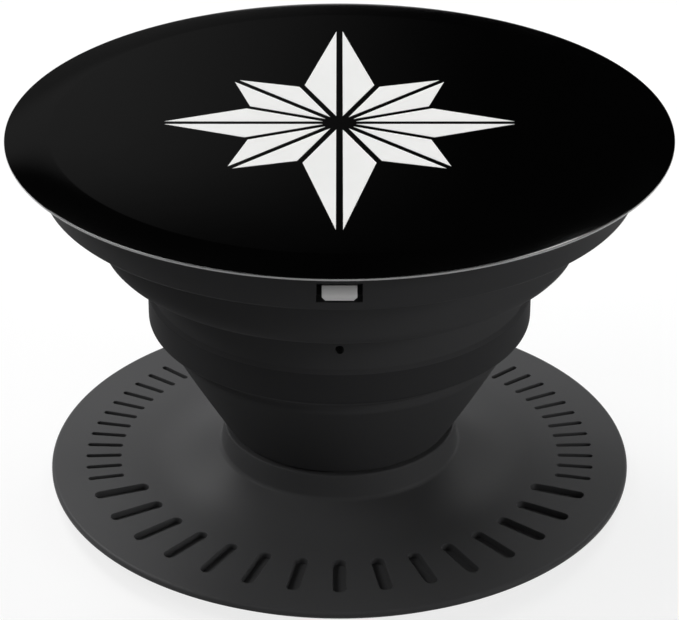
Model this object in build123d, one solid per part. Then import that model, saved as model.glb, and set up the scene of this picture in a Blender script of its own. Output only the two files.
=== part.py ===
from build123d import *
import os
from math import cos, radians, sin, tan

# Collapsible phone grip, standing on its adhesive face with the top raised.
# Millimetres, +Z up, origin at the centre of the adhesive face, front towards -Y.

# Adhesive pad
pad_margin = 1.9            # bare edge of the base disc around the pad
pad_thickness = 0.8
pad_seat_depth = 0.4        # how far the pad sinks into the disc's underside
pad_clearance = 0.1

# Base disc and its hub
base_diameter = 36.6
base_thickness = 1.15
base_lip_width = 0.7        # flat ring around the pad's seat
base_edge_height = 0.35     # upright edge above the bevel of the underside
base_edge_round = 0.2
hub_diameter = 14.6
hub_height = 2.55           # hub's lip above the disc's top face
hub_draft = 0.2             # hub's foot outside its lip
hub_wall = 0.95
hub_round = 0.12
hub_floor = 1.1             # floor under the bore, above the pad
flare_width = 3.1           # shallow cone from the disc up to the hub
flare_height = 0.95
flare_round = 0.35
snap_reach = 0.35           # hub's lip over the swivel foot
snap_height = 0.6

# Engraved index marks on the base disc: bold bars in front, thin ticks around the rest
mark_margin = 2.2           # from the disc's edge to the outer end of a mark
mark_depth = 0.4
bar_arc = 150               # degrees, centred on the front
bar_count = 15
bar_length = 3.4
bar_width = 0.75
tick_count = 42
tick_length = 2.2
tick_width = 0.3

# Swivel foot in the hub
swivel_clearance = 0.06     # radial running fit
swivel_gap = 0.1            # end gaps
swivel_wall = 1.0
swivel_lead = 0.3           # lead-in chamfer for the snap

# Accordion, from the hub up
accordion_wall = 0.8
foot_inset = 0.3            # accordion's foot inside the hub's outline
bowl_height = 6.17
bowl_bulge = 0.05
shoulder_inset = 1.25       # bowl's shoulder inside the hoop
groove_depth = 0.2          # groove between the shoulder and the hoop
groove_height = 0.45
shoulder_round = 0.35
hoop_rise = 1.38            # shoulder up to the hoop's lower edge
hoop_height = 1.93
hoop_round = 0.15
hoop_lower_round = 0.35
ledge_width = 0.2           # small sloping ledge on top of the hoop
ledge_rise = 0.25
lower_wall_height = 2.62
lower_wall_lean = 0.5       # how far the wall leans in towards its top
hoop_inset = 2.89           # hoop inside the ridge
ridge_rise = 0.9
ridge_round = 0.8
fold_round = 0.5            # hollow corners above and below the ridge
upper_wall_height = 2.7
upper_wall_lean = 0.4
ridge_inset = 1.26          # ridge inside the collar
collar_rise = 1.3
collar_height = 0.8
bend_share = 0.9            # share of a straight run that its soft bend takes up
vent_diameter = 0.5
vent_height = 1.49          # vent above the hoop's top edge

# Top carrier
skirt_wall = 0.85
skirt_drop = 0.84           # skirt below the carrier's plate
skirt_round = 0.12
plate_width = 3.0
plate_thickness = 0.6

# Lock ring and its two snap fingers
lock_thickness = 0.6
lock_clearance = 0.1
finger_thickness = 0.7
finger_width = 1.95
finger_corner = 0.2         # cut off the finger's lower corners
finger_relief = 0.3         # room for a pressed finger, below the accordion's collar
collar_clearance = 0.28     # fingers to the accordion's collar
nose_inset = 0.03           # finger's nose inside the skirt's outline
nose_gap = 0.09             # nose to the window, above and below
window_drop = 0.35          # window's lower edge below the carrier's plate
window_height = 1.15
window_clearance = 0.3      # window each side of the finger

# Twist plug under the top disc
plug_wall = 1.2
plug_seat_depth = 0.3
plug_clearance = 0.05
lug_reach = 1.1
lug_angle = 34
lug_clearance = 0.2         # lug to the carrier's plate
twist_clearance = 0.1
twist_angle = 90
stop_angle_gap = 1

# Top disc
top_diameter = 40.0
top_gap = 0.15              # top disc above the carrier
rim_overhang = 2.1          # rim outside the skirt
rim_bevel_height = 0.7      # underside bevel from the skirt out to the rim
rim_height = 0.13
rim_round = 0.05
border_width = 2.6          # soft border around the flat face
border_drop = 0.22

# Star inlay on the face
print_margin = 2.0          # from the soft border to the long tips
print_depth = 0.1
star_width = 22.0
star_diagonal = 18.6
star_waist = 11.6
line_width = 0.4

# Radii, from the rim inwards and from the hub, and the window's width
top_radius = top_diameter / 2
skirt_radius = top_radius - rim_overhang
skirt_inner = skirt_radius - skirt_wall
finger_outer = skirt_inner - lock_clearance
finger_inner = finger_outer - finger_thickness
collar_radius = finger_inner - collar_clearance
ridge_radius = collar_radius - ridge_inset
hoop_radius = ridge_radius - hoop_inset
shoulder_radius = hoop_radius - shoulder_inset
plate_bore = skirt_inner - plate_width
lug_radius = plate_bore - lug_clearance
plug_radius = lug_radius - lug_reach
plug_inner = plug_radius - plug_wall
lock_bore = plug_radius + twist_clearance
base_radius = base_diameter / 2
pad_radius = base_radius - pad_margin
seat_radius = pad_radius + pad_clearance
hub_radius = hub_diameter / 2
hub_bore = hub_radius - hub_wall
snap_bore = hub_bore - snap_reach
swivel_bore = snap_bore - swivel_clearance - swivel_wall
foot_radius = hub_radius - foot_inset
window_width = finger_width + 2 * window_clearance

# Levels, from the adhesive face up
disc_bottom = pad_thickness - pad_seat_depth
disc_top = disc_bottom + base_thickness
hub_top = disc_top + hub_height
bore_floor = pad_thickness + hub_floor
foot_level = hub_top + swivel_gap
shoulder_level = foot_level + bowl_height
hoop_level = shoulder_level + hoop_rise
hoop_top = hoop_level + hoop_height
lower_wall_top = hoop_top + lower_wall_height
ridge_level = lower_wall_top + ridge_rise
upper_wall_top = ridge_level + upper_wall_height
collar_level = upper_wall_top + collar_rise
plate_bottom = collar_level + collar_height
plate_top = plate_bottom + plate_thickness
lock_top = plate_top + lock_thickness
top_bottom = lock_top + top_gap
rim_level = top_bottom + rim_bevel_height
border_level = rim_level + rim_height
face_level = border_level + border_drop
window_bottom = plate_bottom - window_drop
window_top = window_bottom + window_height


def turned(*corners):
    # A section turned about Z. A corner is radius, level and, where it is rounded, its radius.
    points = [corner[:2] for corner in corners]
    rounds = [corner[2] if len(corner) > 2 else 0 for corner in corners]
    outline = FilletPolyline(*points, radius=rounds, close=True)
    return revolve(Plane.XZ * make_face(outline), Axis.Z)


def bend(before, corner, after):
    # The radius of a soft bend at a corner between two straight runs.
    run_in = Vector(*corner) - Vector(*before)
    run_out = Vector(*after) - Vector(*corner)
    half_turn = radians(run_in.get_angle(run_out)) / 2
    return bend_share * min(run_in.length, run_out.length) / tan(half_turn)


def shifted_left(path, wall):
    # The path moved to its left by the wall, with mitred corners.
    points = [Vector(*point) for point in path]
    runs = [(after - before).normalized() for before, after in zip(points, points[1:])]
    lefts = [Vector(-run.Y, run.X) for run in runs]
    mitres = [(one + two) / (1 + one.dot(two)) for one, two in zip(lefts, lefts[1:])]
    shifts = [lefts[0], *mitres, lefts[-1]]
    inner = [point + shift * wall for point, shift in zip(points, shifts)]
    return [(point.X, point.Y) for point in inner]


def ring_sector(inner, outer, bottom, top, middle_angle, angle):
    # A piece of a flat ring, centred on an angle from +X.
    section = Pos((inner + outer) / 2, (bottom + top) / 2) * Rectangle(outer - inner, top - bottom)
    solid = revolve(Plane.XZ * section, Axis.Z, angle)
    return Rot(0, 0, middle_angle - angle / 2) * solid


def adhesive_pad():
    return turned((0, 0), (pad_radius, 0), (pad_radius, pad_thickness), (0, pad_thickness))


def index_marks():
    # Two rows of slots, all ending on one circle, each spread evenly over its arc.
    rows = (
        (bar_count, bar_length, bar_width, 270, bar_arc),
        (tick_count, tick_length, tick_width, 90, 360 - bar_arc),
    )
    marks = Sketch()
    for count, length, width, middle_angle, arc in rows:
        middle = base_radius - mark_margin - length / 2
        first = middle_angle - arc / 2 + arc / count / 2
        spots = PolarLocations(middle, count, first, arc)
        marks += [spot * SlotOverall(length, width) for spot in spots]
    return extrude(Pos(0, 0, disc_top - mark_depth) * marks, mark_depth)


def base_disc():
    bevel_outer = (base_radius, disc_top - base_edge_height)
    flare_foot = (hub_radius + hub_draft + flare_width, disc_top)
    flare_top = (hub_radius + hub_draft, disc_top + flare_height)
    disc = turned(
        (0, pad_thickness),
        (seat_radius, pad_thickness),
        (seat_radius, disc_bottom),
        (seat_radius + base_lip_width, disc_bottom),
        bevel_outer,
        (base_radius, disc_top, base_edge_round),
        (*flare_foot, bend(flare_top, flare_foot, (base_radius, disc_top)) / 2),
        (*flare_top, flare_round),
        (hub_radius, hub_top, hub_round),
        (snap_bore, hub_top),
        (snap_bore, hub_top - snap_height),
        (hub_bore, hub_top - snap_height),
        (hub_bore, bore_floor),
        (0, bore_floor),
    )
    return disc - index_marks()


def swivel_foot():
    # Hard ring under the accordion, snapped below the hub's lip and free to turn there.
    flange_radius = hub_bore - swivel_clearance
    neck_radius = snap_bore - swivel_clearance
    bottom = bore_floor + swivel_gap
    flange_top = hub_top - snap_height - swivel_gap
    return turned(
        (swivel_bore, bottom),
        (flange_radius - swivel_lead, bottom),
        (flange_radius, bottom + swivel_lead),
        (flange_radius, flange_top),
        (neck_radius, flange_top),
        (neck_radius, foot_level),
        (swivel_bore, foot_level),
    )


def accordion():
    # One moulded bellows: bowl, hoop, lower wall, ridge, upper wall and collar.
    foot = (foot_radius, foot_level)
    shoulder = (shoulder_radius, shoulder_level)
    chord = Vector(*shoulder) - Vector(*foot)
    outward = Vector(chord.Y, -chord.X).normalized() * 2 * bowl_bulge
    belly = (Vector(*foot) + Vector(*shoulder)) / 2 + outward
    bowl_middle = (belly.X, belly.Y)
    hoop_bottom = (hoop_radius, hoop_level)
    hoop_edge = (hoop_radius, hoop_top)
    lower_top = (hoop_radius - lower_wall_lean, lower_wall_top)
    ridge = (ridge_radius, ridge_level)
    upper_top = (ridge_radius - upper_wall_lean, upper_wall_top)
    collar = (collar_radius, collar_level)
    lip = (collar_radius, plate_bottom)
    flange = (swivel_bore, foot_level)

    main_path = [flange, foot, bowl_middle, shoulder, hoop_bottom, hoop_edge]
    main_path += [lower_top, ridge, upper_top, collar, lip]
    inner_path = shifted_left(main_path, accordion_wall)
    inner_path[-1] = (inner_path[-1][0], plate_bottom)
    outer = [
        flange,
        foot,
        (*bowl_middle, bend(foot, bowl_middle, shoulder)),
        (*shoulder, shoulder_round),
        (shoulder_radius - groove_depth, shoulder_level + groove_height),
        (*hoop_bottom, hoop_lower_round),
        (*hoop_edge, hoop_round),
        (hoop_radius - ledge_width, hoop_top + ledge_rise),
        (*lower_top, fold_round),
        (*ridge, ridge_round),
        (*upper_top, fold_round),
        collar,
        lip,
    ]
    bellows = turned(*outer, *reversed(inner_path))
    vent = Pos(0, -hoop_radius, hoop_top + vent_height) * Rot(90, 0, 0)
    bellows -= vent * Cylinder(vent_diameter / 2, 4 * accordion_wall)
    relief_inner = collar_radius - 2 * accordion_wall
    relief_bottom = collar_level - finger_relief
    for side in (-1, 1):
        bellows -= finger_block(side, window_width / 2, relief_inner, skirt_radius, relief_bottom, plate_top)
    return bellows


def finger_block(side, half_width, inner, outer, bottom, top):
    # A block between two distances from the axis, at the front (-1) or the back (+1).
    middle = Pos(0, side * (inner + outer) / 2, (bottom + top) / 2)
    return middle * Box(2 * half_width, outer - inner, top - bottom)


def top_carrier():
    skirt_bottom = plate_bottom - skirt_drop
    carrier = turned(
        (plate_bore, plate_bottom),
        (skirt_inner, plate_bottom),
        (skirt_inner, skirt_bottom),
        (skirt_radius, skirt_bottom, skirt_round),
        (skirt_radius, lock_top),
        (skirt_inner, lock_top),
        (skirt_inner, plate_top),
        (plate_bore, plate_top),
    )
    inner = finger_inner - lock_clearance
    for side in (-1, 1):
        carrier -= finger_block(side, window_width / 2, inner, top_radius, window_bottom, window_top)
    return carrier


def lock_ring():
    # Ring that holds the twist plug's lugs, with fingers hooked into the carrier's windows.
    ring = turned(
        (lock_bore, plate_top),
        (finger_outer, plate_top),
        (finger_outer, lock_top),
        (lock_bore, lock_top),
    )
    slot_angle = lug_angle + 2 * stop_angle_gap
    stop_angle = 180 - twist_angle - slot_angle
    for middle in (twist_angle, twist_angle + 180):
        ring -= ring_sector(plug_radius, lug_radius + twist_clearance, plate_top, lock_top, middle, slot_angle)
    stop_inner = lock_bore + twist_clearance
    stop_outer = lug_radius - twist_clearance
    stop_top = plate_top + lock_thickness / 2
    for middle in (90 + twist_angle / 2, 270 + twist_angle / 2):
        ring += ring_sector(stop_inner, stop_outer, plate_bottom, stop_top, middle, stop_angle)
    nose_outer = skirt_radius - nose_inset
    nose_bottom = window_bottom + nose_gap
    nose_top = window_top - nose_gap
    for side in (-1, 1):
        nose = finger_block(side, finger_width / 2, finger_inner, nose_outer, nose_bottom, nose_top)
        lower_edges = nose.edges().filter_by(Axis.Y).group_by(Axis.Z)[0]
        ring += chamfer(lower_edges, finger_corner)
    return ring


def twist_plug():
    # Ring with two bayonet lugs, seated in the top disc's underside.
    plug = turned(
        (plug_inner, plate_bottom),
        (plug_radius, plate_bottom),
        (plug_radius, top_bottom + plug_seat_depth),
        (plug_inner, top_bottom + plug_seat_depth),
    )
    for middle in (0, 180):
        lug_top = plate_top - twist_clearance
        root = plug_radius - plug_wall / 2
        plug += ring_sector(root, lug_radius, plate_bottom, lug_top, middle, lug_angle)
    return plug


def face_print():
    # Eight-pointed compass star, split into facets by thin lines.
    long_reach = top_radius - border_width - print_margin
    half_star = [star_width / 2, star_waist / 2, star_diagonal / 2, star_waist / 2]
    half_star += [long_reach, star_waist / 2, star_diagonal / 2, star_waist / 2]
    step = 180 / len(half_star)
    tips = [(reach, i * step) for i, reach in enumerate(half_star + half_star)]
    corners = [(reach * cos(radians(angle)), reach * sin(radians(angle))) for reach, angle in tips]
    lines = [Rectangle(top_diameter, line_width, rotation=angle) for reach, angle in tips[:len(half_star)]]
    facets = Polygon(*corners, align=None) - lines
    return extrude(Pos(0, 0, face_level - print_depth) * facets, print_depth)


def top_disc(inlay):
    seat_level = top_bottom + plug_seat_depth
    face_edge = (top_radius - border_width, face_level)
    border = (top_radius - border_width / 2, face_level)
    rim_top = (top_radius, border_level)
    disc = turned(
        (0, top_bottom),
        (plug_inner - plug_clearance, top_bottom),
        (plug_inner - plug_clearance, seat_level),
        (plug_radius + plug_clearance, seat_level),
        (plug_radius + plug_clearance, top_bottom),
        (skirt_radius, top_bottom),
        (top_radius, rim_level, rim_round),
        (*rim_top, rim_round),
        (*border, bend(face_edge, border, rim_top)),
        (0, face_level),
    )
    return disc - inlay


inlay = face_print()
nodes = {
    "adhesive_pad": adhesive_pad(),
    "base_disc": base_disc(),
    "swivel_foot": swivel_foot(),
    "accordion": accordion(),
    "top_carrier": top_carrier(),
    "lock_ring": lock_ring(),
    "twist_plug": twist_plug(),
    "top_disc": top_disc(inlay),
    "face_print": inlay,
}

os.makedirs("parts", exist_ok=True)
for name, solid in nodes.items():
    export_step(solid, f"parts/{name}.step")
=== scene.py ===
import math
import bmesh
import bpy
from mathutils import Matrix, Vector


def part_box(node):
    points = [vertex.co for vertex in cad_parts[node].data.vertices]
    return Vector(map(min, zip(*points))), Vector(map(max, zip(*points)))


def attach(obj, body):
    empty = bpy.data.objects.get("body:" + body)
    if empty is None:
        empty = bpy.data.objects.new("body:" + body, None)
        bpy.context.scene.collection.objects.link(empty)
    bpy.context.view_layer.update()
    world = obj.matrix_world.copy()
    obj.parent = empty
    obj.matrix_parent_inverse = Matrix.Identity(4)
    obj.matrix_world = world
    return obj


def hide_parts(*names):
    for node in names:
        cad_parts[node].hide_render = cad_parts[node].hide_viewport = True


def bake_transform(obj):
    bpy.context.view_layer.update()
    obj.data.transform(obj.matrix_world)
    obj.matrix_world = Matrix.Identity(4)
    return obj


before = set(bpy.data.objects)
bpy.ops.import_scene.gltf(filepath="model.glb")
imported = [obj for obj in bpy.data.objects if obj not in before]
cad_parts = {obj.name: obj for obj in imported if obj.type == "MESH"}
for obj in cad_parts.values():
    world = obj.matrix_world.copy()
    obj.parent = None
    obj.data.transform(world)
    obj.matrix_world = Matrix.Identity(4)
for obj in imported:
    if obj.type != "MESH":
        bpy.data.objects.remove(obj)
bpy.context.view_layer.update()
mm = 0.001
weldGap = 0.002   # points closer than this become one
overshoot = 1   # how far a cutting shape goes past what it cuts
print("frame loaded,", len(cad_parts), "CAD nodes")

# Pieces are drawn in millimetres and scaled to metres when they are finished.
# The levels and radii that pieces share are read from the frame.


def nodeSpan(node):
    low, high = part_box(node)
    return high.x / mm, low.z / mm, high.z / mm   # radius, lowest level, highest level


baseRadius, discBottom, hubTop = nodeSpan("base_disc")
padRadius, floorLevel, padTop = nodeSpan("adhesive_pad")
collarRadius, footLevel, plateBottom = nodeSpan("accordion")
skirtRadius, skirtBottom, lockTop = nodeSpan("top_carrier")
topRadius, topBottom, faceLevel = nodeSpan("top_disc")
lockRadius, noseBottom, ringTop = nodeSpan("lock_ring")


def hexLinear(code):
    channels = [int(code[i:i + 2], 16) / 255 for i in (1, 3, 5)]
    return [c / 12.92 if c <= 0.04045 else ((c + 0.055) / 1.055) ** 2.4 for c in channels] + [1]


def addNode(tree, kind, inputs=None, **settings):
    node = tree.nodes.new(kind)
    for name, value in settings.items():
        setattr(node, name, value)
    for key, value in (inputs or {}).items():
        if isinstance(value, bpy.types.NodeSocket):
            tree.links.new(value, node.inputs[key])
        else:
            node.inputs[key].default_value = value
    return node


def calc(tree, operation, a, b=0.0):
    return addNode(tree, "ShaderNodeMath", {0: a, 1: b}, operation=operation).outputs[0]


def perMetre(sizeMm):
    return 1 / (sizeMm * mm)   # texture scale for a feature of this size


def newMaterial(name):
    material = bpy.data.materials.new(name)
    material.use_nodes = True
    material.node_tree.nodes.clear()
    return material, material.node_tree


def shadeWith(tree, shader):
    addNode(tree, "ShaderNodeOutputMaterial", {"Surface": shader.outputs[0]})


def mottle(tree, sizeMm, detail):
    place = addNode(tree, "ShaderNodeTexCoord").outputs["Object"]
    noise = addNode(tree, "ShaderNodeTexNoise", {
        "Vector": place, "Scale": perMetre(sizeMm), "Detail": detail, "Roughness": 0.55})
    return noise.outputs[0]


def spread(tree, value, low, high):
    least, most = 0.3, 0.7   # nearly all values of the noise lie between these
    ranged = addNode(tree, "ShaderNodeMapRange", {
        "Value": value, "From Min": least, "From Max": most, "To Min": low, "To Max": high})
    return ranged.outputs[0]


def twoTone(tree, value, dark, light):
    mix = addNode(tree, "ShaderNodeMix", {"Factor": value}, data_type="RGBA")
    for socket in mix.inputs:
        tone = {"A": dark, "B": light}.get(socket.name)
        if socket.type == "RGBA" and isinstance(tone, str):
            socket.default_value = hexLinear(tone)
        elif socket.type == "RGBA":
            tree.links.new(tone, socket)
    return next(socket for socket in mix.outputs if socket.type == "RGBA")


def cloudTone(tree, look):
    return twoTone(tree, mottle(tree, *look["cloud"]), look["dark"], look["light"])


def skinShader(tree, look, tone):
    # Clouds make the sheen uneven, and a finer grain gives the skin its relief.
    # Both have a size in millimetres and a detail, and the bump has a strength and a depth.
    strength, depth = look["bump"]
    bump = addNode(tree, "ShaderNodeBump", {
        "Height": mottle(tree, *look["grain"]), "Strength": strength, "Distance": depth * mm})
    return addNode(tree, "ShaderNodeBsdfPrincipled", {
        "Base Color": tone, "Roughness": spread(tree, mottle(tree, *look["cloud"]), *look["roughness"]),
        "Normal": bump.outputs[0], **look["sockets"]})


def plainMaterial(name, look):
    material, tree = newMaterial(name)
    shadeWith(tree, skinShader(tree, look, cloudTone(tree, look)))
    return material


# Thermoplastic polyurethane, moulded in a spark-eroded mould: an even dull charcoal that scatters
# nearly all the light. The hoop is painted darker than the walls: painted shade.
# Its real grit is about 0.05 mm, drawn coarser so that it shows.
satinTpu = dict(dark="#4d4d4e", light="#515152", paintedShade="#414142", roughness=(0.62, 0.72), cloud=(7.0, 3.0),
                grain=(0.14, 2.0), bump=(0.12, 0.02), sockets={"IOR": 1.5, "Specular IOR Level": 0.03})


def satinTpuMaterial():
    material, tree = newMaterial("satin_tpu")
    # Painted shade: the hoop, marked in the mesh, gets a darker tone.
    paintedShade = addNode(tree, "ShaderNodeAttribute", attribute_name="paintedShade")
    tone = twoTone(tree, paintedShade.outputs["Fac"], cloudTone(tree, satinTpu), satinTpu["paintedShade"])
    shadeWith(tree, skinShader(tree, satinTpu, tone))
    return material


# ABS, moulded with a fine texture: a matt dark grey whose grain breaks up reflections.
# Its real grit is about 0.06 mm, drawn coarser so that it shows.
texturedAbs = dict(dark="#515152", light="#555556", roughness=(0.4, 0.48), cloud=(9.0, 3.0),
                   grain=(0.16, 2.0), bump=(0.15, 0.02), sockets={"IOR": 1.53, "Specular IOR Level": 0.08})

# Glass-filled nylon, moulded, with a dry satin skin; its tone is painted darker than the rubber, as painted
# shade.
# Its real grit is about 0.04 mm, drawn coarser so that it shows.
satinNylon = dict(dark="#424243", light="#464647", roughness=(0.52, 0.6), cloud=(6.0, 3.0),
                  grain=(0.12, 2.0), bump=(0.1, 0.02), sockets={"IOR": 1.53, "Specular IOR Level": 0.06})

# Screen-printed ink: dense white, a little duller than the plastic round it.
whiteInk = dict(dark="#f3f3f1", light="#f8f8f7", roughness=(0.34, 0.42), cloud=(3.0, 3.0), grain=(0.2, 1.0),
                bump=(0.06, 0.01), sockets={"IOR": 1.5, "Specular IOR Level": 0.3})

# Gel adhesive: dark, soft and slightly wet-looking, with a faintly wavy skin.
gelAdhesive = dict(dark="#161617", light="#1c1c1e", roughness=(0.22, 0.34), cloud=(2.2, 2.0),
                   grain=(2.2, 2.0), bump=(0.2, 0.05), sockets={"IOR": 1.47})

# Polycarbonate, moulded against a polished mould and printed black: it mirrors the room softly.
# A thin light band on the rim's outer face, below a set level, is a painted highlight.
glossPolycarbonate = dict(printed="#020202", paintedHighlight="#d4d4d5", edgeWidth=0.06, edgeLevel=0.81,
                          roughness=(0.06, 0.08), cloud=(5.0, 3.0), grain=(1.6, 1.0), bump=(0.05, 0.01),
                          sockets={"IOR": 1.58})


def glossPolycarbonateMaterial():
    look = glossPolycarbonate
    material, tree = newMaterial("gloss_polycarbonate")
    place = addNode(tree, "ShaderNodeTexCoord").outputs["Object"]
    flat = addNode(tree, "ShaderNodeVectorMath", {0: place, 1: (1, 1, 0)}, operation="MULTIPLY")
    radius = addNode(tree, "ShaderNodeVectorMath", {0: flat.outputs[0]}, operation="LENGTH").outputs["Value"]
    level = addNode(tree, "ShaderNodeSeparateXYZ", {0: place}).outputs["Z"]
    # Painted highlight: the rim's outer face, below a set level, gets a light tone.
    outside = calc(tree, "GREATER_THAN", radius, (topRadius - look["edgeWidth"]) * mm)
    under = calc(tree, "LESS_THAN", level, (topBottom + look["edgeLevel"]) * mm)
    tone = twoTone(tree, calc(tree, "MULTIPLY", outside, under), look["printed"], look["paintedHighlight"])
    shadeWith(tree, skinShader(tree, look, tone))
    return material


# Natural acetal: waxy light grey with a slick, glossy skin. Its fingers get painted shade towards their top,
# under the rim.
naturalAcetal = dict(root="#646261", tip="#fbfaf9", fade=(0.3, 1.0), roughness=(0.28, 0.36),
                     cloud=(1.5, 3.0), grain=(1.5, 3.0), bump=(0.05, 0.02), sockets={
                         "IOR": 1.48, "Specular IOR Level": 0.8, "Coat Weight": 0.8, "Coat Roughness": 0.15})


def naturalAcetalMaterial():
    look = naturalAcetal
    material, tree = newMaterial("natural_acetal")
    place = addNode(tree, "ShaderNodeTexCoord").outputs["Object"]
    level = addNode(tree, "ShaderNodeSeparateXYZ", {0: place}).outputs["Z"]
    # Painted shade: darker towards the top of the fingers, where the rim above shades them.
    noShade, paintedShade = (noseBottom + height for height in look["fade"])
    fade = addNode(tree, "ShaderNodeMapRange", {
        "Value": level, "From Min": paintedShade * mm, "From Max": noShade * mm})
    shadeWith(tree, skinShader(tree, look, twoTone(tree, fade.outputs[0], look["root"], look["tip"])))
    return material


tpu = satinTpuMaterial()
absPlastic = plainMaterial("textured_abs", texturedAbs)
nylon = plainMaterial("satin_nylon", satinNylon)
polycarbonate = glossPolycarbonateMaterial()
ink = plainMaterial("white_screen_ink", whiteInk)
acetal = naturalAcetalMaterial()
gel = plainMaterial("gel_adhesive", gelAdhesive)
print("materials made")


def newTree(name, inputs):
    tree = bpy.data.node_groups.new(name, "GeometryNodeTree")
    tree.interface.new_socket("Geometry", in_out="INPUT", socket_type="NodeSocketGeometry")
    for label, kind in inputs:
        tree.interface.new_socket(label, in_out="INPUT", socket_type="NodeSocket" + kind)
    tree.interface.new_socket("Material", in_out="INPUT", socket_type="NodeSocketMaterial")
    tree.interface.new_socket("Geometry", in_out="OUTPUT", socket_type="NodeSocketGeometry")
    return tree, addNode(tree, "NodeGroupInput").outputs


def endTree(tree, geometry, material):
    merged = addNode(tree, "GeometryNodeMergeByDistance", {"Geometry": geometry, "Distance": weldGap})
    realized = addNode(tree, "GeometryNodeRealizeInstances", {0: merged.outputs[0]})
    painted = addNode(tree, "GeometryNodeSetMaterial", {
        "Geometry": realized.outputs[0], "Material": material})
    addNode(tree, "NodeGroupOutput", {0: painted.outputs[0]})


def useTree(piece, tree, sizes):
    modifier = piece.modifiers.new(tree.name, "NODES")
    modifier.node_group = tree
    for item in tree.interface.items_tree:
        if item.in_out == "INPUT" and item.name in sizes:
            modifier[item.identifier] = sizes[item.name]


def latheTree():
    # Rounds the corners of an outline, adds rows to its long runs and turns it about Z.
    tree, sizes = newTree("lathe", [("Segments", "Int"), ("Corner Steps", "Int"), ("Row Height", "Float")])
    axisRing = 1.0   # the outline is swept along a circle of this radius and shifted by as much
    mostRows = 60.0
    outline = addNode(tree, "GeometryNodeMeshToCurve", {"Mesh": sizes["Geometry"]})
    rounding = addNode(tree, "GeometryNodeInputNamedAttribute", {"Name": "round"}, data_type="FLOAT")
    soft = addNode(tree, "GeometryNodeFilletCurve", {
        "Curve": outline.outputs[0], "Count": sizes["Corner Steps"],
        "Radius": rounding.outputs[0], "Limit Radius": True}, mode="POLY")
    place = addNode(tree, "GeometryNodeInputPosition").outputs[0]
    index = addNode(tree, "GeometryNodeInputIndex").outputs[0]
    following = addNode(tree, "GeometryNodeFieldAtIndex", {
        "Value": place, "Index": calc(tree, "ADD", index, 1.0)}, data_type="FLOAT_VECTOR", domain="POINT")
    run = addNode(tree, "ShaderNodeVectorMath", {0: place, 1: following.outputs[0]}, operation="DISTANCE")
    rows = calc(tree, "MINIMUM", calc(tree, "DIVIDE", run.outputs["Value"], sizes["Row Height"]), mostRows)
    fine = addNode(tree, "GeometryNodeSubdivideCurve", {"Curve": soft.outputs[0], "Cuts": rows})
    section = addNode(tree, "GeometryNodeTransform", {
        "Geometry": fine.outputs[0], "Translation": (-axisRing, 0, 0), "Scale": (1, -1, 1)})
    ring = addNode(tree, "GeometryNodeCurvePrimitiveCircle", {
        "Resolution": sizes["Segments"], "Radius": axisRing})
    turned = addNode(tree, "GeometryNodeCurveToMesh", {
        "Curve": ring.outputs[0], "Profile Curve": section.outputs[0]})
    endTree(tree, turned.outputs[0], sizes["Material"])
    return tree


lathe = latheTree()


def outlineObject(name, *runs):
    # A run is a list of corners, each with a radius, a level and how much it is rounded, and may be closed.
    corners, edges = [], []
    for run, closed in runs:
        first = len(corners)
        corners += run
        edges += [(i, i + 1) for i in range(first, len(corners) - 1)]
        if closed:
            edges.append((len(corners) - 1, first))
    mesh = bpy.data.meshes.new(name)
    mesh.from_pydata([(c[0], c[1], 0) for c in corners], edges, [])
    rounding = mesh.attributes.new("round", "FLOAT", "POINT")
    rounding.data.foreach_set("value", [c[2] if len(c) > 2 else 0 for c in corners])
    piece = bpy.data.objects.new(name, mesh)
    bpy.context.scene.collection.objects.link(piece)
    return piece


def turnedPiece(name, material, *runs, segments=256, cornerSteps=6, rowHeight=1.0):
    piece = outlineObject(name, *runs)
    useTree(piece, lathe, {
        "Segments": segments, "Corner Steps": cornerSteps, "Row Height": rowHeight, "Material": material})
    return piece


def meshObject(name, bm, material):
    mesh = bpy.data.meshes.new(name)
    bm.to_mesh(mesh)
    bm.free()
    mesh.materials.append(material)
    piece = bpy.data.objects.new(name, mesh)
    bpy.context.scene.collection.objects.link(piece)
    return piece


def bakeModifiers(piece):
    depsgraph = bpy.context.evaluated_depsgraph_get()
    mesh = bpy.data.meshes.new_from_object(piece.evaluated_get(depsgraph), depsgraph=depsgraph)
    piece.modifiers.clear()
    piece.data = mesh
    mesh.name = piece.name


def closeSkin(piece):
    bm = bmesh.new()
    bm.from_mesh(piece.data)
    bmesh.ops.remove_doubles(bm, verts=bm.verts, dist=weldGap)
    bmesh.ops.recalc_face_normals(bm, faces=bm.faces)
    bm.to_mesh(piece.data)
    bm.free()


def carve(piece, tool, operation="DIFFERENCE"):
    cut = piece.modifiers.new("carve", "BOOLEAN")
    cut.operation = operation
    cut.object = tool
    cut.solver = "EXACT"
    bakeModifiers(piece)
    bpy.data.objects.remove(tool)


def block(side, width, near, far, low, high):
    # A box across the front (side -1) or the back (side 1), from near to far off the axis.
    bm = bmesh.new()
    middle = (0, side * (near + far) / 2, (low + high) / 2)
    size = Matrix.Diagonal((width, far - near, high - low, 1))
    bmesh.ops.create_cube(bm, size=1, matrix=Matrix.Translation(middle) @ size)
    return bm


def ringPart(inner, outer, low, high, middle, arc, steps=18):
    # A piece of a flat ring, from its middle angle and its arc in degrees.
    bm = bmesh.new()
    rows = []
    for step in range(steps + 1):
        angle = math.radians(middle + arc * (step / steps - 0.5))
        rows.append([bm.verts.new((radius * math.cos(angle), radius * math.sin(angle), level))
                     for radius, level in ((inner, low), (outer, low), (outer, high), (inner, high))])
    for one, two in zip(rows, rows[1:]):
        for corner in range(4):
            bm.faces.new((one[corner], one[corner - 1], two[corner - 1], two[corner]))
    bm.faces.new(rows[0])
    bm.faces.new(rows[-1])
    bmesh.ops.recalc_face_normals(bm, faces=bm.faces)
    return bm


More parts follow.
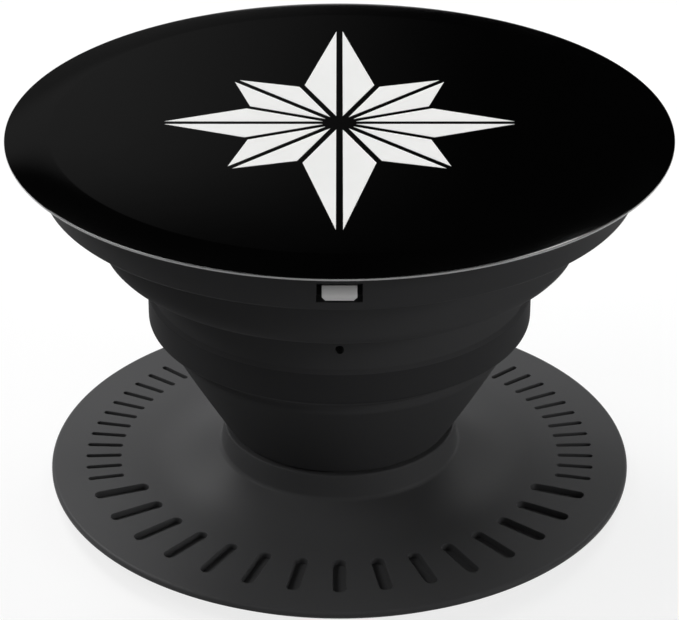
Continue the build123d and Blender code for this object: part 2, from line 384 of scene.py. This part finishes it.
def partPlane(mesh, level):
    # Parts a plane with cut-outs from the rounded edges round it, so that its shading doesn't ripple.
    uses = {}
    upright, near = 0.9999, 0.001 * mm
    for face in mesh.polygons:
        if face.normal.z > upright and abs(face.center.z - level) < near:
            for corner in face.loop_indices:
                edge = mesh.loops[corner].edge_index
                uses[edge] = uses.get(edge, 0) + 1
    for edge, count in uses.items():
        if count == 1:
            mesh.edges[edge].use_edge_sharp = True


def finishPiece(piece, slot, *nodes, sharpAngle=38, flatLevel=None):
    bakeModifiers(piece)
    closeSkin(piece)
    piece.data.transform(Matrix.Scale(mm, 4))
    piece.data.shade_smooth()
    piece.data.set_sharp_from_angle(angle=math.radians(sharpAngle))
    if flatLevel:
        partPlane(piece.data, flatLevel * mm)
    weighted = piece.modifiers.new("weighted", "WEIGHTED_NORMAL")
    weighted.keep_sharp = True
    bakeModifiers(piece)
    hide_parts(*nodes)
    print(piece.name, len(piece.data.polygons), "faces")


def softBend(before, corner, after, share=0.9):
    runIn = Vector(corner) - Vector(before)
    runOut = Vector(after) - Vector(corner)
    return share * min(runIn.length, runOut.length) / math.tan(runIn.angle(runOut) / 2)


def shiftedLeft(path, wall):
    points = [Vector(point) for point in path]
    lefts = [(after - before).normalized().orthogonal() for before, after in zip(points, points[1:])]
    mitres = [(one + two) / (1 + one.dot(two)) for one, two in zip(lefts, lefts[1:])]
    return [tuple(point + shift * wall) for point, shift in zip(points, [lefts[0], *mitres, lefts[-1]])]


# Base disc with its flared hub, and the index marks sunk into its flat ring.
basePlate = dict(discTop=1.55, edgeHeight=0.35, edgeRound=0.2, edgeLowerRound=0.12, lipWidth=0.7,
                 lipRound=0.1, seatGap=0.1, hubRadius=7.3, hubDraft=0.2, hubRound=0.12, flareWidth=3.1,
                 flareHeight=0.95, flareRound=0.35, snapBore=6.0, snapHeight=0.6, snapRound=0.1,
                 hubBore=6.35, boreFloor=1.9, ringInner=12.3, ringEdge=0.3, segments=256)
indexMarks = dict(margin=2.2, depth=0.4, lip=0.05, barArc=150, barCount=15, barLength=3.4, barWidth=0.75,
                  tickCount=42, tickLength=2.2, tickWidth=0.3)


def marksTree():
    # Fills the flat ring between two circles, leaves out the slots and hangs a pocket in each.
    rowSizes = [(row + " " + label, kind) for row in ("Bar", "Tick") for label, kind in (
        ("Count", "Int"), ("Length", "Float"), ("Width", "Float"), ("Middle", "Float"), ("Arc", "Float"))]
    tree, sizes = newTree("index marks", [
        ("Segments", "Int"), ("Ring Inner", "Float"), ("Ring Outer", "Float"), ("Level", "Float"),
        ("Outer End", "Float"), ("Depth", "Float"), ("Lip", "Float"), *rowSizes])
    wallSteps, endSteps = 6, 7
    endShare = 0.49   # a slot's ends are nearly half circles
    index = addNode(tree, "GeometryNodeInputIndex").outputs[0]
    lipStart = addNode(tree, "ShaderNodeCombineXYZ", {"X": sizes["Lip"]})
    wallEnd = addNode(tree, "ShaderNodeCombineXYZ", {"Y": sizes["Depth"]})
    wallLine = addNode(tree, "GeometryNodeCurveQuadraticBezier", {
        "Resolution": wallSteps, "Start": lipStart.outputs[0], "Middle": (0, 0, 0),
        "End": wallEnd.outputs[0]})
    sideways = addNode(tree, "ShaderNodeVectorMath", {
        0: addNode(tree, "GeometryNodeInputNormal").outputs[0], "Scale": sizes["Lip"]}, operation="SCALE")
    sunk = addNode(tree, "ShaderNodeCombineXYZ", {"Z": calc(tree, "MULTIPLY", sizes["Depth"], -1.0)})
    outlines, pockets = [], []
    for row in ("Bar", "Tick"):
        length, width, count = (sizes[row + " " + label] for label in ("Length", "Width", "Count"))
        oblong = addNode(tree, "GeometryNodeCurvePrimitiveQuadrilateral", {"Width": length, "Height": width},
                         mode="RECTANGLE")
        slot = addNode(tree, "GeometryNodeFilletCurve", {
            "Curve": oblong.outputs[0], "Count": endSteps, "Limit Radius": True,
            "Radius": calc(tree, "MULTIPLY", width, endShare)}, mode="POLY")
        rim = addNode(tree, "GeometryNodeSetPosition", {
            "Geometry": slot.outputs[0], "Offset": sideways.outputs[0]})
        wall = addNode(tree, "GeometryNodeCurveToMesh", {
            "Curve": slot.outputs[0], "Profile Curve": wallLine.outputs[0]})
        sheet = addNode(tree, "GeometryNodeFillCurve", {"Curve": slot.outputs[0]}, mode="NGONS")
        bottom = addNode(tree, "GeometryNodeTransform", {
            "Geometry": sheet.outputs[0], "Translation": sunk.outputs[0]})
        pocket = addNode(tree, "GeometryNodeJoinGeometry", {0: bottom.outputs[0]})
        tree.links.new(wall.outputs[0], pocket.inputs[0])
        middle = calc(tree, "SUBTRACT", sizes["Outer End"], calc(tree, "MULTIPLY", length, 0.5))
        seat = addNode(tree, "ShaderNodeCombineXYZ", {"X": middle})
        arc = sizes[row + " Arc"]
        step = calc(tree, "DIVIDE", arc, count)
        first = calc(tree, "SUBTRACT", sizes[row + " Middle"], calc(tree, "MULTIPLY", arc, 0.5))
        turn = calc(tree, "ADD", first, calc(tree, "MULTIPLY", step, calc(tree, "ADD", index, 0.5)))
        spin = addNode(tree, "ShaderNodeCombineXYZ", {"Z": calc(tree, "RADIANS", turn)})
        for shape, group in ((rim, outlines), (pocket, pockets)):
            seated = addNode(tree, "GeometryNodeTransform", {
                "Geometry": shape.outputs[0], "Translation": seat.outputs[0]})
            points = addNode(tree, "GeometryNodePoints", {"Count": count})
            copies = addNode(tree, "GeometryNodeInstanceOnPoints", {
                "Points": points.outputs[0], "Instance": seated.outputs[0]})
            turned = addNode(tree, "GeometryNodeRotateInstances", {
                "Instances": copies.outputs[0], "Rotation": spin.outputs[0], "Local Space": False})
            group.append(addNode(tree, "GeometryNodeRealizeInstances", {0: turned.outputs[0]}).outputs[0])
    for edge in ("Ring Inner", "Ring Outer"):
        circle = addNode(tree, "GeometryNodeCurvePrimitiveCircle", {
            "Resolution": sizes["Segments"], "Radius": sizes[edge]})
        outlines.append(circle.outputs[0])
    edges = addNode(tree, "GeometryNodeJoinGeometry")
    for outline in outlines:
        tree.links.new(outline, edges.inputs[0])
    flat = addNode(tree, "GeometryNodeFillCurve", {"Curve": edges.outputs[0]}, mode="TRIANGLES")
    marked = addNode(tree, "GeometryNodeJoinGeometry", {0: flat.outputs[0]})
    for pocket in pockets:
        tree.links.new(pocket, marked.inputs[0])
    lift = addNode(tree, "ShaderNodeCombineXYZ", {"Z": sizes["Level"]})
    ring = addNode(tree, "GeometryNodeTransform", {
        "Geometry": marked.outputs[0], "Translation": lift.outputs[0]})
    whole = addNode(tree, "GeometryNodeJoinGeometry", {0: sizes["Geometry"]})
    tree.links.new(ring.outputs[0], whole.inputs[0])
    endTree(tree, whole.outputs[0], sizes["Material"])
    return tree


def makeBase():
    b, m = basePlate, indexMarks
    frontTurn, backTurn = 270.0, 90.0
    seatRadius = padRadius + b["seatGap"]
    flareFoot = (b["hubRadius"] + b["hubDraft"] + b["flareWidth"], b["discTop"])
    flareTop = (b["hubRadius"] + b["hubDraft"], b["discTop"] + b["flareHeight"])
    ringOuter = baseRadius - b["ringEdge"]
    underside = [
        (0, padTop), (seatRadius, padTop), (seatRadius, discBottom),
        (seatRadius + b["lipWidth"], discBottom, b["lipRound"]),
        (baseRadius, b["discTop"] - b["edgeHeight"], b["edgeLowerRound"]),
        (baseRadius, b["discTop"], b["edgeRound"]), (ringOuter, b["discTop"])]
    hub = [
        (b["ringInner"], b["discTop"]),
        (*flareFoot, softBend(flareTop, flareFoot, (baseRadius, b["discTop"])) / 2),
        (*flareTop, b["flareRound"]), (b["hubRadius"], hubTop, b["hubRound"]),
        (b["snapBore"], hubTop, b["snapRound"]),
        (b["snapBore"], hubTop - b["snapHeight"]), (b["hubBore"], hubTop - b["snapHeight"]),
        (b["hubBore"], b["boreFloor"]), (0, b["boreFloor"])]
    piece = turnedPiece("base_plate", absPlastic, (underside, False), (hub, False), segments=b["segments"],
                        cornerSteps=8)
    useTree(piece, marksTree(), {
        "Segments": b["segments"], "Ring Inner": b["ringInner"], "Ring Outer": ringOuter,
        "Level": b["discTop"], "Outer End": baseRadius - m["margin"], "Depth": m["depth"], "Lip": m["lip"],
        "Bar Count": m["barCount"], "Bar Length": m["barLength"], "Bar Width": m["barWidth"],
        "Bar Middle": frontTurn, "Bar Arc": float(m["barArc"]),
        "Tick Count": m["tickCount"], "Tick Length": m["tickLength"], "Tick Width": m["tickWidth"],
        "Tick Middle": backTurn, "Tick Arc": 360.0 - m["barArc"], "Material": absPlastic})
    finishPiece(piece, "base_plastic", "base_disc", flatLevel=b["discTop"])
    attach(piece, "base")


makeBase()

# Adhesive pad under the base.
adhesivePad = dict(edgeRound=0.12)


def makePad():
    outline = [(0, floorLevel), (padRadius, floorLevel, adhesivePad["edgeRound"]),
               (padRadius, padTop, adhesivePad["edgeRound"]), (0, padTop)]
    piece = turnedPiece("gel_pad", gel, (outline, False), segments=128)
    finishPiece(piece, "adhesive_pad", "adhesive_pad")
    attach(piece, "base")


makePad()

# Sizes of the carrier, which the accordion and the lock ring share.
carrier = dict(plateBore=14.05, skirtWall=0.85, plateThickness=0.6, boreRound=0.05, skirtRound=0.12,
               skirtInnerRound=0.08, rimRound=0.06, windowWidth=2.55, windowBottom=21.65, windowTop=22.8,
               windowInner=13.9)
plateTop = plateBottom + carrier["plateThickness"]

# Accordion: bowl, hoop, lower wall, ridge, upper wall and collar, one skin of even thickness.
accordion = dict(wall=0.8, boreRadius=4.94, footRadius=7.0, footRound=0.08, bowlHeight=6.17, bowlBulge=0.05,
                 shoulderRadius=10.57, shoulderRound=0.35, grooveDepth=0.2, grooveHeight=0.45,
                 grooveRound=0.2, hoopRise=1.38, hoopHeight=1.93, hoopRadius=11.82, hoopRound=0.15,
                 hoopLowerRound=0.35, ledgeWidth=0.2, ledgeRise=0.25, ledgeRound=0.15, lowerWallHeight=2.62,
                 lowerWallLean=0.5, ridgeRise=0.9, ridgeRadius=14.71, ridgeRound=0.8, foldRound=0.5,
                 upperWallHeight=2.7, upperWallLean=0.4, collarRise=1.3, collarRound=0.15,
                 reliefBottom=20.9, foldTop=20.8, ventDiameter=0.5, ventHeight=1.49, ventTaper=(0.8, 1.4),
                 drillLength=3.2)


def makeAccordion():
    a = accordion
    shoulderLevel = footLevel + a["bowlHeight"]
    hoopLevel = shoulderLevel + a["hoopRise"]
    hoopTop = hoopLevel + a["hoopHeight"]
    lowerTop = hoopTop + a["lowerWallHeight"]
    ridgeLevel = lowerTop + a["ridgeRise"]
    upperTop = ridgeLevel + a["upperWallHeight"]
    foot = Vector((a["footRadius"], footLevel))
    shoulder = Vector((a["shoulderRadius"], shoulderLevel))
    chord = (shoulder - foot).normalized()
    belly = (foot + shoulder) / 2 + Vector((chord.y, -chord.x)) * 2 * a["bowlBulge"]
    flange = (a["boreRadius"], footLevel)
    hoopBottom = (a["hoopRadius"], hoopLevel)
    hoopEdge = (a["hoopRadius"], hoopTop)
    lowerEnd = (a["hoopRadius"] - a["lowerWallLean"], lowerTop)
    ridge = (a["ridgeRadius"], ridgeLevel)
    upperEnd = (a["ridgeRadius"] - a["upperWallLean"], upperTop)
    collar = (collarRadius, upperTop + a["collarRise"])
    lip = (collarRadius, plateBottom)
    path = [flange, foot, belly, shoulder, hoopBottom, hoopEdge, lowerEnd, ridge, upperEnd, collar, lip]
    inner = shiftedLeft(path, a["wall"])
    inner[-1] = (inner[-1][0], plateBottom)
    outer = [
        flange, (*foot, a["footRound"]), (*belly, softBend(foot, belly, shoulder)),
        (*shoulder, a["shoulderRound"]),
        (a["shoulderRadius"] - a["grooveDepth"], shoulderLevel + a["grooveHeight"], a["grooveRound"]),
        (*hoopBottom, a["hoopLowerRound"]), (*hoopEdge, a["hoopRound"]),
        (a["hoopRadius"] - a["ledgeWidth"], hoopTop + a["ledgeRise"], a["ledgeRound"]),
        (*lowerEnd, a["foldRound"]), (*ridge, a["ridgeRound"]), (*upperEnd, a["foldRound"]),
        (*collar, a["collarRound"]), lip]
    piece = turnedPiece("accordion_skin", tpu, (outer + inner[::-1], True), rowHeight=0.35)
    bakeModifiers(piece)
    closeSkin(piece)
    drill = bmesh.new()
    ventRadii = [share * a["ventDiameter"] / 2 for share in a["ventTaper"]]   # wider at its mouth
    mouth = Matrix.Translation((0, -a["hoopRadius"], hoopTop + a["ventHeight"]))
    bmesh.ops.create_cone(drill, cap_ends=True, segments=24, radius1=ventRadii[0], radius2=ventRadii[1],
                          depth=a["drillLength"], matrix=mouth @ Matrix.Rotation(math.pi / 2, 4, "X"))
    carve(piece, meshObject("drill", drill, tpu))
    for side in (-1, 1):   # room for the lock ring's fingers to spring in
        relief = block(side, carrier["windowWidth"], collarRadius - 2 * a["wall"], skirtRadius,
                       a["reliefBottom"], plateTop)
        carve(piece, meshObject("relief", relief, tpu))
    finishPiece(piece, "accordion_rubber", "accordion")
    # Marks the hoop for painted shade: the rubber's material paints it darker.
    onHoop = [float(hoopLevel < vert.co.z / mm < hoopTop) for vert in piece.data.vertices]
    piece.data.attributes.new("paintedShade", "FLOAT", "POINT").data.foreach_set("value", onHoop)
    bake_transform(piece)


makeAccordion()


# Carrier: stiff ring whose skirt shows under the top, with a window in front and behind.
def makeCarrier():
    c = carrier
    skirtInner = skirtRadius - c["skirtWall"]
    outline = [
        (c["plateBore"], plateBottom, c["boreRound"]), (skirtInner, plateBottom),
        (skirtInner, skirtBottom, c["skirtInnerRound"]), (skirtRadius, skirtBottom, c["skirtRound"]),
        (skirtRadius, lockTop, c["rimRound"]), (skirtInner, lockTop, c["rimRound"]), (skirtInner, plateTop),
        (c["plateBore"], plateTop, c["boreRound"])]
    piece = turnedPiece("carrier_ring", nylon, (outline, True), segments=320)
    bakeModifiers(piece)
    closeSkin(piece)
    for side in (-1, 1):
        punch = block(side, c["windowWidth"], c["windowInner"], skirtRadius + overshoot,
                      c["windowBottom"], c["windowTop"])
        carve(piece, meshObject("punch", punch, nylon))
    finishPiece(piece, "carrier_plastic", "top_carrier")
    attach(piece, "carrier")


makeCarrier()

# Lock ring with two snap fingers, which stand in the carrier's windows.
# Its slots let the plug's lugs in, and its stops end their turn.
lockRing = dict(bore=12.85, fingerInner=16.25, noseOuter=17.87, noseTop=22.71, fingerWidth=1.95,
                cornerCut=0.2, edgeRound=0.05, slotSpan=(12.7, 13.95), slotTurn=90, slotArc=36,
                stopSpan=(12.95, 13.75), stopTurn=135, stopArc=53, stopRoot=0.3)


def makeLockRing():
    r = lockRing
    near = 0.001   # picks out edges that lie on a plane
    outline = [(r["bore"], plateTop), (lockRadius, plateTop), (lockRadius, ringTop), (r["bore"], ringTop)]
    piece = turnedPiece("lock_ring_fingers", acetal, (outline, True), segments=192)
    bakeModifiers(piece)
    closeSkin(piece)
    for turn in (0, 180):
        slot = ringPart(*r["slotSpan"], plateTop - overshoot, ringTop + overshoot,
                        turn + r["slotTurn"], r["slotArc"])
        carve(piece, meshObject("slot", slot, acetal))
        stop = ringPart(*r["stopSpan"], plateBottom, plateTop + r["stopRoot"],
                        turn + r["stopTurn"], r["stopArc"])
        carve(piece, meshObject("stop", stop, acetal), "UNION")
    for side in (-1, 1):
        finger = block(side, r["fingerWidth"], r["fingerInner"], r["noseOuter"], noseBottom, r["noseTop"])
        lower = [e for e in finger.edges if all(v.co.z < noseBottom + near for v in e.verts)
                 and abs(e.verts[0].co.x - e.verts[1].co.x) < near]
        bmesh.ops.bevel(finger, geom=lower, offset=r["cornerCut"], segments=1, affect="EDGES")
        nose = [e for e in finger.edges if all(side * v.co.y > r["noseOuter"] - near for v in e.verts)]
        bmesh.ops.bevel(finger, geom=nose, offset=r["edgeRound"], segments=4, profile=0.5, affect="EDGES")
        carve(piece, meshObject("finger", finger, acetal), "UNION")
    finishPiece(piece, "lock_plastic", "lock_ring")
    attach(piece, "carrier")


makeLockRing()

# Top disc: flat glossy face with a soft border that falls to a thin rim.
topDisc = dict(plugInner=11.5, plugOuter=12.8, plugSeat=0.3, plugRound=0.05, underRound=0.15,
               rimBevel=0.7, rimHeight=0.13, rimRound=0.05, borderWidth=2.6, borderDip=0.04,
               creaseRound=4.0, inkHeight=0.02)


def makeTop():
    t = topDisc
    face = faceLevel - t["inkHeight"]
    rimTop = (topRadius, topBottom + t["rimBevel"] + t["rimHeight"])
    border = (topRadius - t["borderWidth"] / 2, face - t["borderDip"])
    faceEdge = (topRadius - t["borderWidth"], face)
    outline = [
        (0, topBottom), (t["plugInner"], topBottom, t["plugRound"]),
        (t["plugInner"], topBottom + t["plugSeat"]), (t["plugOuter"], topBottom + t["plugSeat"]),
        (t["plugOuter"], topBottom, t["plugRound"]), (skirtRadius, topBottom, t["underRound"]),
        (topRadius, topBottom + t["rimBevel"], t["rimRound"]), (*rimTop, t["rimRound"]),
        (*border, softBend(faceEdge, border, rimTop)), (*faceEdge, t["creaseRound"]), (0, face)]
    piece = turnedPiece("top_face", polycarbonate, (outline, False), segments=320, cornerSteps=10)
    finishPiece(piece, "top_plastic", "top_disc")
    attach(piece, "top")


makeTop()

# Star printed on the face: facets of an eight-pointed star, parted by thin lines.
starPrint = dict(longReach=15.4, sideReach=11.0, diagonalReach=9.3, waistReach=5.8, lineWidth=0.4)


def starTree():
    # Draws the star from its tips, gives it the ink's height and cuts the lines through its centre.
    tree, sizes = newTree("star print", [(label, "Float") for label in (
        "Long Reach", "Side Reach", "Diagonal Reach", "Waist Reach", "Line Width", "Ink Height", "Level")])
    corners = 16   # eight tips with a waist between each two
    barLength, barHeight = 3.0, 4.0   # in reaches and ink heights, so that each bar cuts right through
    index = addNode(tree, "GeometryNodeInputIndex").outputs[0]

    def pick(every, at, chosen, other):
        here = calc(tree, "COMPARE", calc(tree, "MODULO", index, every), at)
        return addNode(tree, "GeometryNodeSwitch", {"Switch": here, "False": other, "True": chosen},
                       input_type="FLOAT").outputs[0]

    reach = pick(8.0, 4.0, sizes["Long Reach"], sizes["Side Reach"])
    reach = pick(4.0, 2.0, sizes["Diagonal Reach"], reach)
    reach = pick(2.0, 1.0, sizes["Waist Reach"], reach)
    circle = addNode(tree, "GeometryNodeMeshCircle", {"Vertices": corners, "Radius": 1.0}, fill_type="NGON")
    place = addNode(tree, "GeometryNodeInputPosition").outputs[0]
    tips = addNode(tree, "ShaderNodeVectorMath", {0: place, "Scale": reach}, operation="SCALE")
    star = addNode(tree, "GeometryNodeSetPosition", {
        "Geometry": circle.outputs[0], "Position": tips.outputs[0]})
    raised = addNode(tree, "GeometryNodeExtrudeMesh", {
        "Mesh": star.outputs[0], "Offset": (0, 0, 1), "Offset Scale": sizes["Ink Height"],
        "Individual": False})
    under = addNode(tree, "GeometryNodeFlipFaces", {"Mesh": star.outputs[0]})
    film = addNode(tree, "GeometryNodeJoinGeometry", {0: raised.outputs[0]})
    tree.links.new(under.outputs[0], film.inputs[0])
    closed = addNode(tree, "GeometryNodeMergeByDistance", {"Geometry": film.outputs[0], "Distance": weldGap})
    barSize = addNode(tree, "ShaderNodeCombineXYZ", {
        "X": calc(tree, "MULTIPLY", sizes["Long Reach"], barLength), "Y": sizes["Line Width"],
        "Z": calc(tree, "MULTIPLY", sizes["Ink Height"], barHeight)})
    bar = addNode(tree, "GeometryNodeMeshCube", {"Size": barSize.outputs[0]})
    points = addNode(tree, "GeometryNodePoints", {"Count": corners // 2})
    bars = addNode(tree, "GeometryNodeInstanceOnPoints", {
        "Points": points.outputs[0], "Instance": bar.outputs[0]})
    spin = addNode(tree, "ShaderNodeCombineXYZ", {"Z": calc(tree, "MULTIPLY", index, math.tau / corners)})
    fan = addNode(tree, "GeometryNodeRotateInstances", {
        "Instances": bars.outputs[0], "Rotation": spin.outputs[0], "Local Space": False})
    lines = addNode(tree, "GeometryNodeRealizeInstances", {0: fan.outputs[0]})
    facets = addNode(tree, "GeometryNodeMeshBoolean", {
        "Mesh 1": closed.outputs[0], "Mesh 2": lines.outputs[0], "Self Intersection": True},
        operation="DIFFERENCE", solver="EXACT")
    lift = addNode(tree, "ShaderNodeCombineXYZ", {"Z": sizes["Level"]})
    lifted = addNode(tree, "GeometryNodeTransform", {
        "Geometry": facets.outputs[0], "Translation": lift.outputs[0]})
    endTree(tree, lifted.outputs[0], sizes["Material"])
    return tree


def makeStar():
    s = starPrint
    piece = outlineObject("star_facets", ([(0, 0)], False))
    useTree(piece, starTree(), {
        "Long Reach": s["longReach"], "Side Reach": s["sideReach"], "Diagonal Reach": s["diagonalReach"],
        "Waist Reach": s["waistReach"], "Line Width": s["lineWidth"], "Ink Height": topDisc["inkHeight"],
        "Level": faceLevel - topDisc["inkHeight"], "Material": ink})
    finishPiece(piece, "print_white", "face_print")
    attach(piece, "top")


makeStar()

# The hidden rings keep their CAD shape.
for node in ("swivel_foot", "twist_plug"):
    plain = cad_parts[node]
    plain.data.materials.clear()
    plain.data.materials.append(absPlastic)
print("pieces made")

# Pale floor that rises to a low rim far from the object.
floorDish = dict(flat=450, rise=150, reach=900, sink=0.03, colour="#808080", lift=0.8)


def makeFloor():
    f = floorDish
    level = floorLevel - f["sink"]
    outline = [(0, level), (f["flat"], level, f["rise"]), (f["reach"], f["rise"])]
    piece = turnedPiece("studio_floor", None, (outline, False), segments=128, cornerSteps=12, rowHeight=60)
    bakeModifiers(piece)
    closeSkin(piece)
    piece.data.transform(Matrix.Scale(mm, 4))
    if sum(face.normal.z for face in piece.data.polygons) < 0:   # an open skin may come out upside down
        piece.data.flip_normals()
    piece.data.shade_smooth()
    material, tree = newMaterial("floor_paper")
    paper = addNode(tree, "ShaderNodeBsdfDiffuse", {"Color": hexLinear(f["colour"])})
    ray = addNode(tree, "ShaderNodeLightPath").outputs
    seen = calc(tree, "MAXIMUM", ray["Is Camera Ray"],
                calc(tree, "MAXIMUM", ray["Is Glossy Ray"], ray["Is Transmission Ray"]))
    glow = addNode(tree, "ShaderNodeEmission", {"Strength": calc(tree, "MULTIPLY", seen, f["lift"])})
    shadeWith(tree, addNode(tree, "ShaderNodeAddShader", {0: paper.outputs[0], 1: glow.outputs[0]}))
    piece.data.materials.clear()
    piece.data.materials.append(material)


makeFloor()

# Light: softboxes in a dark room. The top mirrors its back wall, which is lit at the left up to a low line
# and is dimmer near the floor. Angles are above the horizon, in degrees.
studio = dict(wall=0.002, ceiling=0.02, ceilingEdges=(42, 60), backWall=0.11, backWallEdges=(-0.13, 0.07),
              backWallTop=(24.3, 27.2), backWallFoot=(18.5, 21.8), footShare=0.6)


def makeStudio():
    world = bpy.data.worlds.new("studio")
    bpy.context.scene.world = world
    world.use_nodes = True
    tree = world.node_tree
    tree.nodes.clear()
    direction = addNode(tree, "ShaderNodeTexCoord").outputs["Generated"]
    across, deep, height = addNode(tree, "ShaderNodeSeparateXYZ", {0: direction}).outputs
    nearlyFlat = 0.01   # keeps the division below from running away

    def fade(value, span, low, high):
        return addNode(tree, "ShaderNodeMapRange", {
            "Value": value, "From Min": span[0], "From Max": span[1], "To Min": low, "To Max": high},
            interpolation_type="SMOOTHSTEP").outputs[0]

    def climb(angles, low, high):
        return fade(height, [math.sin(math.radians(angle)) for angle in angles], low, high)

    ceiling = climb(studio["ceilingEdges"], studio["wall"], studio["ceiling"])
    sideways = calc(tree, "DIVIDE", across, calc(tree, "MAXIMUM", deep, nearlyFlat))
    backWall = fade(sideways, studio["backWallEdges"], studio["backWall"], 0.0)
    lit = calc(tree, "MULTIPLY", climb(studio["backWallTop"], 1.0, 0.0),
               climb(studio["backWallFoot"], studio["footShare"], 1.0))
    behind = calc(tree, "MULTIPLY", lit, calc(tree, "GREATER_THAN", deep, 0.0))
    light = addNode(tree, "ShaderNodeBackground", {
        "Strength": calc(tree, "ADD", ceiling, calc(tree, "MULTIPLY", backWall, behind))})
    addNode(tree, "ShaderNodeOutputWorld", {"Surface": light.outputs[0]})


makeStudio()

softboxes = [dict(name="left softbox", azimuth=269, height=45, size=300, power=1.08),
             dict(name="left back softbox", azimuth=211, height=50, size=240, power=2.1),
             dict(name="right back softbox", azimuth=153, height=50, size=240, power=1.2),
             dict(name="right front softbox", azimuth=66, height=21, size=240, power=0.88),
             dict(name="front softbox", azimuth=0, height=20, size=240, power=0.15),
             dict(name="overhead softbox", azimuth=0, height=88, size=600, power=0.5)]
lampReach = 650


def makeSoftbox(box):
    lamp = bpy.data.lights.new(box["name"], "AREA")
    lamp.size = box["size"] * mm
    lamp.energy = box["power"]
    softbox = bpy.data.objects.new(box["name"], lamp)
    bpy.context.scene.collection.objects.link(softbox)
    turn = math.radians(box["azimuth"])   # 0 is in front, 90 at the right
    rise = math.radians(box["height"])
    softbox.location = lampReach * mm * Vector((
        math.sin(turn) * math.cos(rise), -math.cos(turn) * math.cos(rise), math.sin(rise)))
    softbox.rotation_euler = (-softbox.location).to_track_quat("-Z", "Y").to_euler()


for box in softboxes:
    makeSoftbox(box)

# Camera where the picture was taken from: above the front, looking down at the grip.
cameraView = dict(place=(0, -146.1, 89.34), pitch=27.99, lens=141.18, nearest=10)


def makeCamera():
    data = bpy.data.cameras.new("camera")
    data.lens = cameraView["lens"]
    data.clip_start = cameraView["nearest"] * mm
    camera = bpy.data.objects.new("camera", data)
    bpy.context.scene.collection.objects.link(camera)
    camera.location = Vector(cameraView["place"]) * mm
    camera.rotation_euler = (math.radians(90 - cameraView["pitch"]), 0, 0)
    bpy.context.scene.camera = camera


makeCamera()
bpy.context.scene.view_settings.view_transform = "Standard"
print("stage and camera set")
